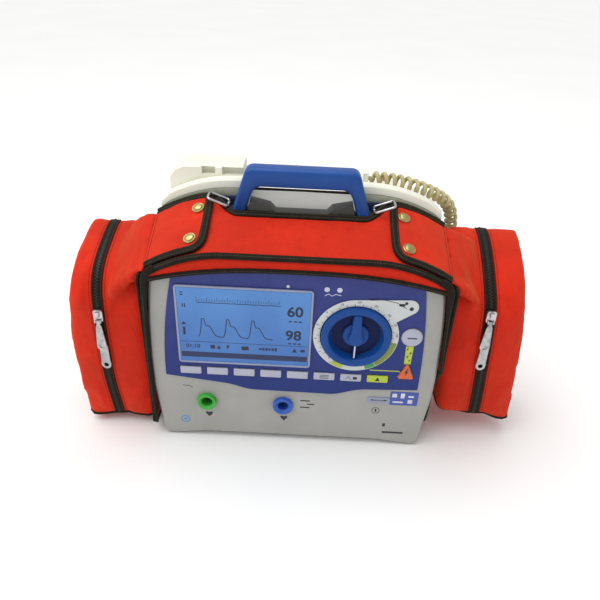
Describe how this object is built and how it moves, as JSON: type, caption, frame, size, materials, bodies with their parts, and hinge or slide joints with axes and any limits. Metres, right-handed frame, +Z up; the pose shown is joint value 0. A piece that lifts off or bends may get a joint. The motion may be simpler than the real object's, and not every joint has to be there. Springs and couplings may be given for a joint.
{
  "type": "portable defibrillator monitor in carry bag",
  "caption": "Portable defibrillator and monitor with paddles, dial and soft keys, in a fabric carry bag with side pouches.",
  "frame": {"origin": "on the ground under the middle of the object", "axes": "+X to the device's left as it faces you (your right), +Y from the display side to the back, +Z up"},
  "size_m": [0.5622, 0.1651, 0.343],
  "materials": {
    "housing_plastic": "fine-textured light grey",
    "black_rubber": "matt",
    "circuit_board": "green solder mask",
    "dark_plastic": "matt dark grey",
    "navy_plastic": "matt navy",
    "membrane": "satin printed film, blue",
    "light_plastic": "satin pale grey",
    "display": "lit blue display behind a glossy window",
    "blue_plastic": "moulded mid blue",
    "steel": "brushed",
    "orange_plastic": "moulded orange",
    "green_plastic": "moulded green",
    "yellow_green_plastic": "moulded yellow-green",
    "chrome": "bright plated",
    "brass": "pale brass, worn",
    "red_fabric": "red woven nylon with black binding",
    "cord_jacket": "beige, satin",
    "rim_plastic": "grey-green",
    "cream_plastic": "cream white"
  },
  "bodies": {
    "root": {"front_housing": "housing_plastic", "rear_housing": "housing_plastic", "front_foot": "black_rubber", "rear_foot": "black_rubber", "main_circuit_board": "circuit_board", "battery_pack": "dark_plastic", "shock_capacitor": "navy_plastic", "front_membrane": "membrane", "display_frame": "light_plastic", "display_glass": "display", "dial_ring": "light_plastic", "ecg_socket": "green_plastic", "oximeter_socket": "blue_plastic", "card_slot": "light_plastic", "carry_handle": "blue_plastic", "handle_base": "dark_plastic", "bag_top_panel": "red_fabric", "bag_back_panel": "red_fabric", "bag_base_panel": "red_fabric", "left_bag_side": "red_fabric", "right_bag_side": "red_fabric", "left_paddle_tray": "navy_plastic", "left_pouch": "red_fabric", "left_cord_gland": "black_rubber", "right_paddle_tray": "navy_plastic", "right_pouch": "red_fabric", "right_cord_gland": "black_rubber"},
    "rotary_knob": {"rotary_knob": "blue_plastic", "knob_shaft": "steel"},
    "round_button": {"round_button": "light_plastic"},
    "shock_button": {"shock_button": "orange_plastic"},
    "key_1": {"key_1": "light_plastic"},
    "key_2": {"key_2": "light_plastic"},
    "key_3": {"key_3": "light_plastic"},
    "key_4": {"key_4": "light_plastic"},
    "key_5": {"key_5": "light_plastic"},
    "key_6": {"key_6": "light_plastic"},
    "key_7": {"key_7": "light_plastic"},
    "key_8": {"key_8": "yellow_green_plastic"},
    "left_paddle": {"left_paddle_cover": "cream_plastic", "left_paddle_base": "rim_plastic", "left_paddle_electrode": "steel"},
    "left_paddle_button": {"left_paddle_button": "orange_plastic"},
    "left_strap_ring": {"left_strap_ring": "chrome"},
    "left_flap": {"left_flap": "red_fabric", "left_upper_stud": "brass", "left_lower_stud": "brass"},
    "left_zip_slider": {"left_zip_slider": "chrome"},
    "left_zip_pull": {"left_zip_pull": "chrome"},
    "right_paddle": {"right_paddle_cover": "cream_plastic", "right_paddle_base": "rim_plastic", "right_paddle_electrode": "steel", "paddle_cord": "cord_jacket"},
    "right_paddle_button": {"right_paddle_button": "orange_plastic"},
    "right_strap_ring": {"right_strap_ring": "chrome"},
    "right_flap": {"right_flap": "red_fabric", "right_upper_stud": "brass", "right_lower_stud": "brass"},
    "right_zip_slider": {"right_zip_slider": "chrome"},
    "right_zip_pull": {"right_zip_pull": "chrome"}
  },
  "joints": [
    {"name": "dial_turn", "type": "hinge", "parent": "root", "child": "rotary_knob", "pos_m": [0.06438, -0.072, 0.1715], "axis": [0, 1, 0], "range_deg": [-90, 240]},
    {"name": "key_1_press", "type": "slide", "parent": "root", "child": "key_1", "axis": [0, 1, 0], "range_m": [0, 0.001], "stiffness_N_per_m": 800},
    {"name": "key_2_press", "type": "slide", "parent": "root", "child": "key_2", "axis": [0, 1, 0], "range_m": [0, 0.001], "stiffness_N_per_m": 800},
    {"name": "key_3_press", "type": "slide", "parent": "root", "child": "key_3", "axis": [0, 1, 0], "range_m": [0, 0.001], "stiffness_N_per_m": 800},
    {"name": "key_4_press", "type": "slide", "parent": "root", "child": "key_4", "axis": [0, 1, 0], "range_m": [0, 0.001], "stiffness_N_per_m": 800},
    {"name": "key_5_press", "type": "slide", "parent": "root", "child": "key_5", "axis": [0, 1, 0], "range_m": [0, 0.001], "stiffness_N_per_m": 800},
    {"name": "key_6_press", "type": "slide", "parent": "root", "child": "key_6", "axis": [0, 1, 0], "range_m": [0, 0.001], "stiffness_N_per_m": 800},
    {"name": "key_7_press", "type": "slide", "parent": "root", "child": "key_7", "axis": [0, 1, 0], "range_m": [0, 0.001], "stiffness_N_per_m": 800},
    {"name": "key_8_press", "type": "slide", "parent": "root", "child": "key_8", "axis": [0, 1, 0], "range_m": [0, 0.001], "stiffness_N_per_m": 800},
    {"name": "round_button_press", "type": "slide", "parent": "root", "child": "round_button", "axis": [0, 1, 0], "range_m": [0, 0.001], "stiffness_N_per_m": 800},
    {"name": "shock_button_press", "type": "slide", "parent": "root", "child": "shock_button", "axis": [0, 1, 0], "range_m": [0, 0.001], "stiffness_N_per_m": 800},
    {"name": "left_paddle_lift", "type": "slide", "parent": "root", "child": "left_paddle", "axis": [0, 0, 1], "range_m": [0, 0.06]},
    {"name": "left_paddle_button_press", "type": "slide", "parent": "left_paddle", "child": "left_paddle_button", "axis": [0, -1, 0], "range_m": [0, 0.001], "stiffness_N_per_m": 800},
    {"name": "left_ring_swing", "type": "hinge", "parent": "root", "child": "left_strap_ring", "pos_m": [-0.08882, 0, 0.297], "axis": [0, 1, 0], "range_deg": [0, 70]},
    {"name": "left_flap_open", "type": "hinge", "parent": "root", "child": "left_flap", "pos_m": [-0.17412, -0.026, 0.2619], "axis": [0, -0.9317, -0.3633], "range_deg": [0, 110]},
    {"name": "left_zip_slide", "type": "slide", "parent": "root", "child": "left_zip_slider", "axis": [0, 0, -1], "range_m": [-0.012, 0.08]},
    {"name": "left_pull_swing", "type": "hinge", "parent": "left_zip_slider", "child": "left_zip_pull", "pos_m": [-0.23862, -0.0615, 0.166], "axis": [-1, 0, 0], "range_deg": [0, 150]},
    {"name": "right_paddle_lift", "type": "slide", "parent": "root", "child": "right_paddle", "axis": [0, 0, 1], "range_m": [0, 0.06]},
    {"name": "right_paddle_button_press", "type": "slide", "parent": "right_paddle", "child": "right_paddle_button", "axis": [0, 0, -1], "range_m": [0, 0.001], "stiffness_N_per_m": 800},
    {"name": "right_ring_swing", "type": "hinge", "parent": "root", "child": "right_strap_ring", "pos_m": [0.07758, 0, 0.297], "axis": [0, -1, 0], "range_deg": [0, 70]},
    {"name": "right_flap_open", "type": "hinge", "parent": "root", "child": "right_flap", "pos_m": [0.16288, -0.026, 0.2619], "axis": [0, 0.9317, 0.3633], "range_deg": [0, 110]},
    {"name": "right_zip_slide", "type": "slide", "parent": "root", "child": "right_zip_slider", "axis": [0.0693, 0, -0.9976], "range_m": [0, 0.085]},
    {"name": "right_pull_swing", "type": "hinge", "parent": "right_zip_slider", "child": "right_zip_pull", "pos_m": [0.22188, -0.0535, 0.186], "axis": [-1, 0, 0], "range_deg": [0, 150]}
  ]
}
